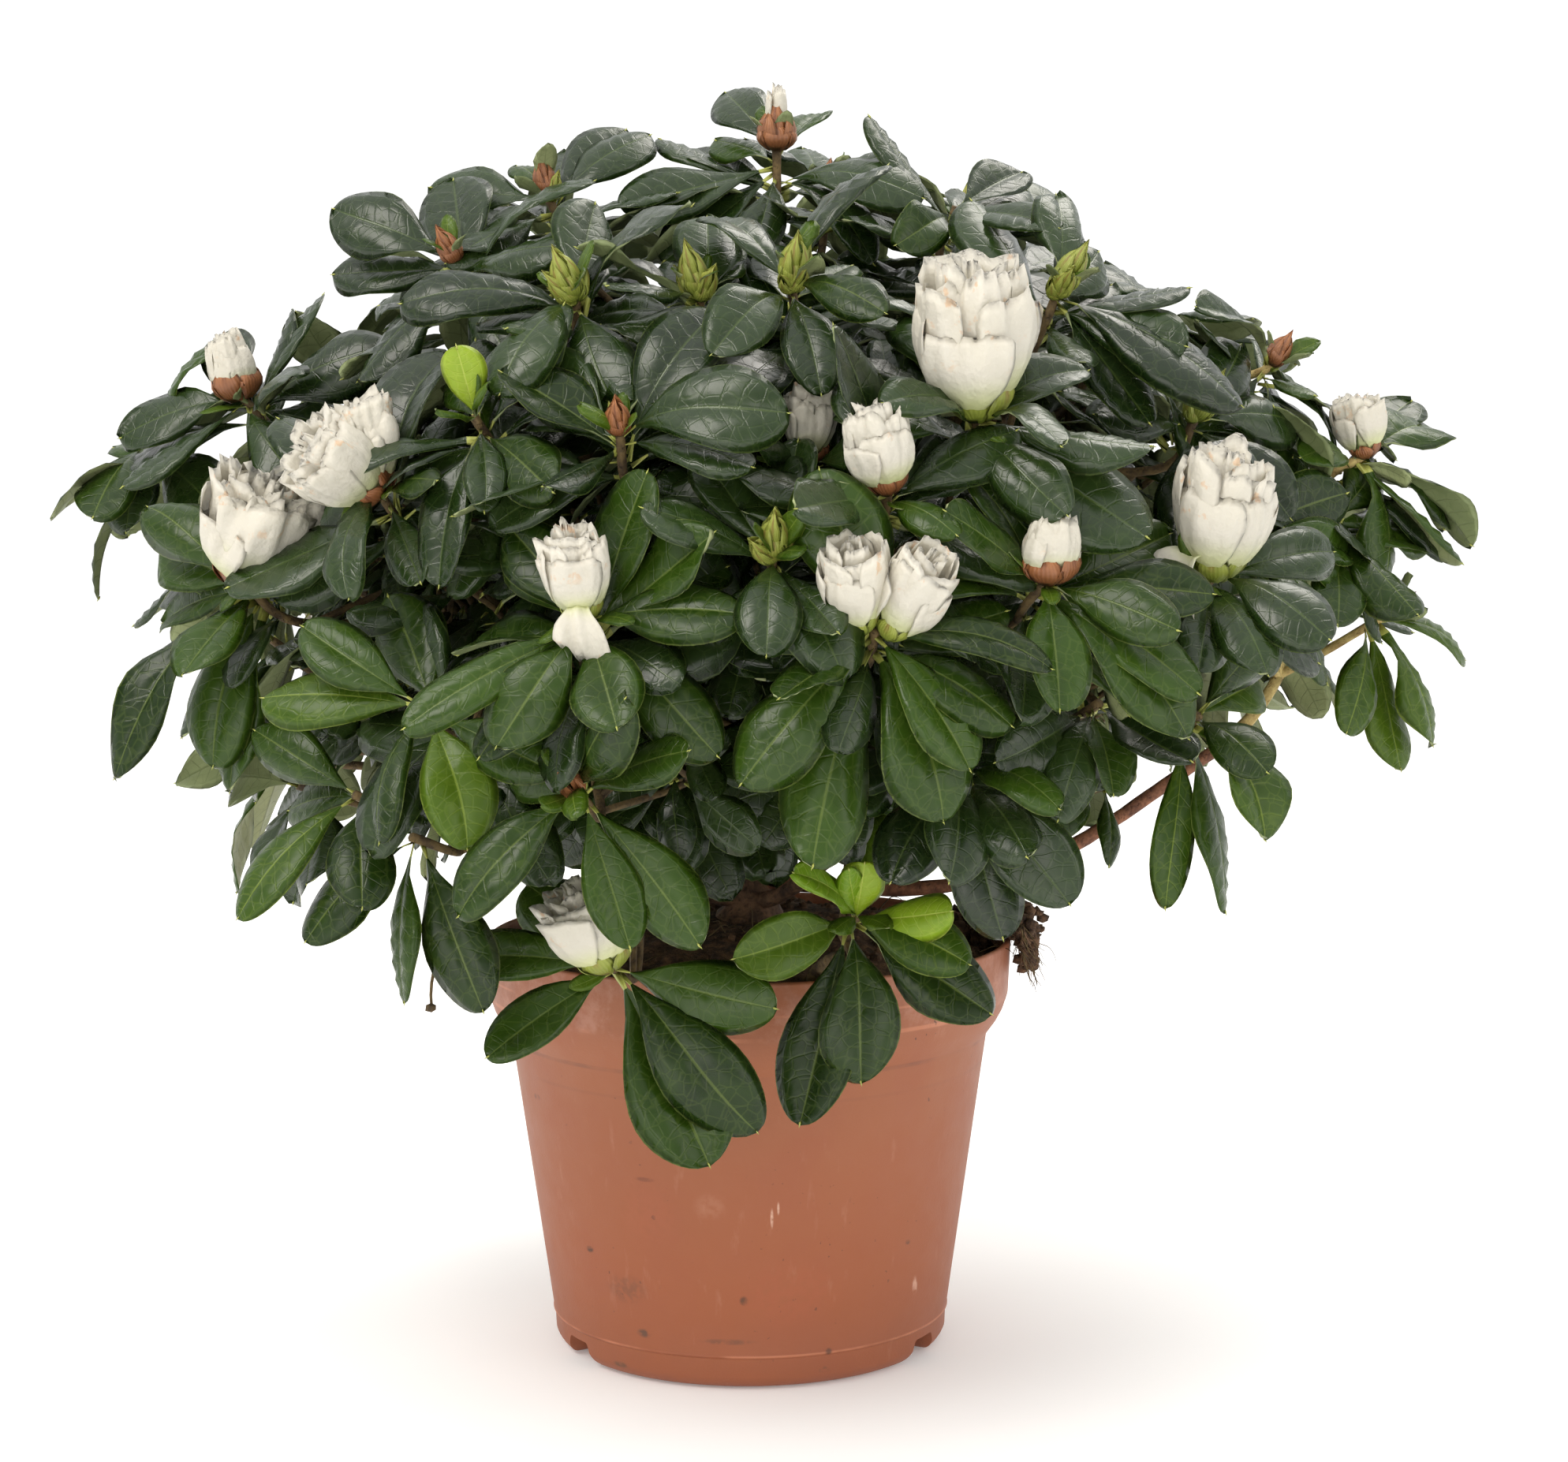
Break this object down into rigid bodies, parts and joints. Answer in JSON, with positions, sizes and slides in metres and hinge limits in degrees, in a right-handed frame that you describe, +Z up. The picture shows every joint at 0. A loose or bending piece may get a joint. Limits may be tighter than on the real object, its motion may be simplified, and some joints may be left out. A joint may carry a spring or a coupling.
{
  "type": "potted azalea shrub",
  "caption": "Dense domed azalea shrub in leaf and white double flower, rooted in peat in a round tapered plastic nursery pot.",
  "frame": {"origin": "middle of the pot's flat underside, on the surface that the pot stands on", "axes": "+Z up along the pot's axis, -Y towards the front of the plant as it is pictured, +X to the right seen from the front"},
  "size_m": [0.3472, 0.3263, 0.3062],
  "materials": {
    "pot": "matt moulded terracotta-coloured plastic with peat specks and light scuffs",
    "peat": "damp crumbly peat with root fibres",
    "bark": "thin grey-brown bark, redder on the younger wood",
    "foliage": "glossy dark green leaves with sunken veins, paler underneath",
    "petal": "soft matt white petals, greenish at the foot",
    "bud": "green and rust-brown bud scales"
  },
  "bodies": {
    "root": {"bough_back_left": "bark", "bough_back_right": "bark", "bough_bare_branch": "bark", "bough_front": "bark", "bough_front_left": "bark", "bough_front_right": "bark", "bough_high_back_left": "bark", "bough_high_back_right": "bark", "bough_high_front": "bark", "bough_high_left": "bark", "bough_high_right": "bark", "bough_left": "bark", "bough_left_back": "bark", "bough_low_back": "bark", "bough_low_back_left": "bark", "bough_low_front_left": "bark", "bough_low_front_right": "bark", "bough_low_left": "bark", "bough_low_right": "bark", "bough_new_growth": "bark", "bough_right_back": "bark", "bough_top": "bark", "foliage_back_left": "foliage", "foliage_back_right": "foliage", "foliage_bare_branch": "foliage", "foliage_front": "foliage", "foliage_front_left": "foliage", "foliage_front_right": "foliage", "foliage_high_back_left": "foliage", "foliage_high_back_right": "foliage", "foliage_high_front": "foliage", "foliage_high_left": "foliage", "foliage_high_right": "foliage", "foliage_left": "foliage", "foliage_left_back": "foliage", "foliage_low_back": "foliage", "foliage_low_back_left": "foliage", "foliage_low_front_left": "foliage", "foliage_low_front_right": "foliage", "foliage_low_left": "foliage", "foliage_low_right": "foliage", "foliage_new_growth": "foliage", "foliage_right_back": "foliage", "foliage_top": "foliage", "peat": "peat", "pot": "pot", "stem": "bark"}
  },
  "joints": []
}
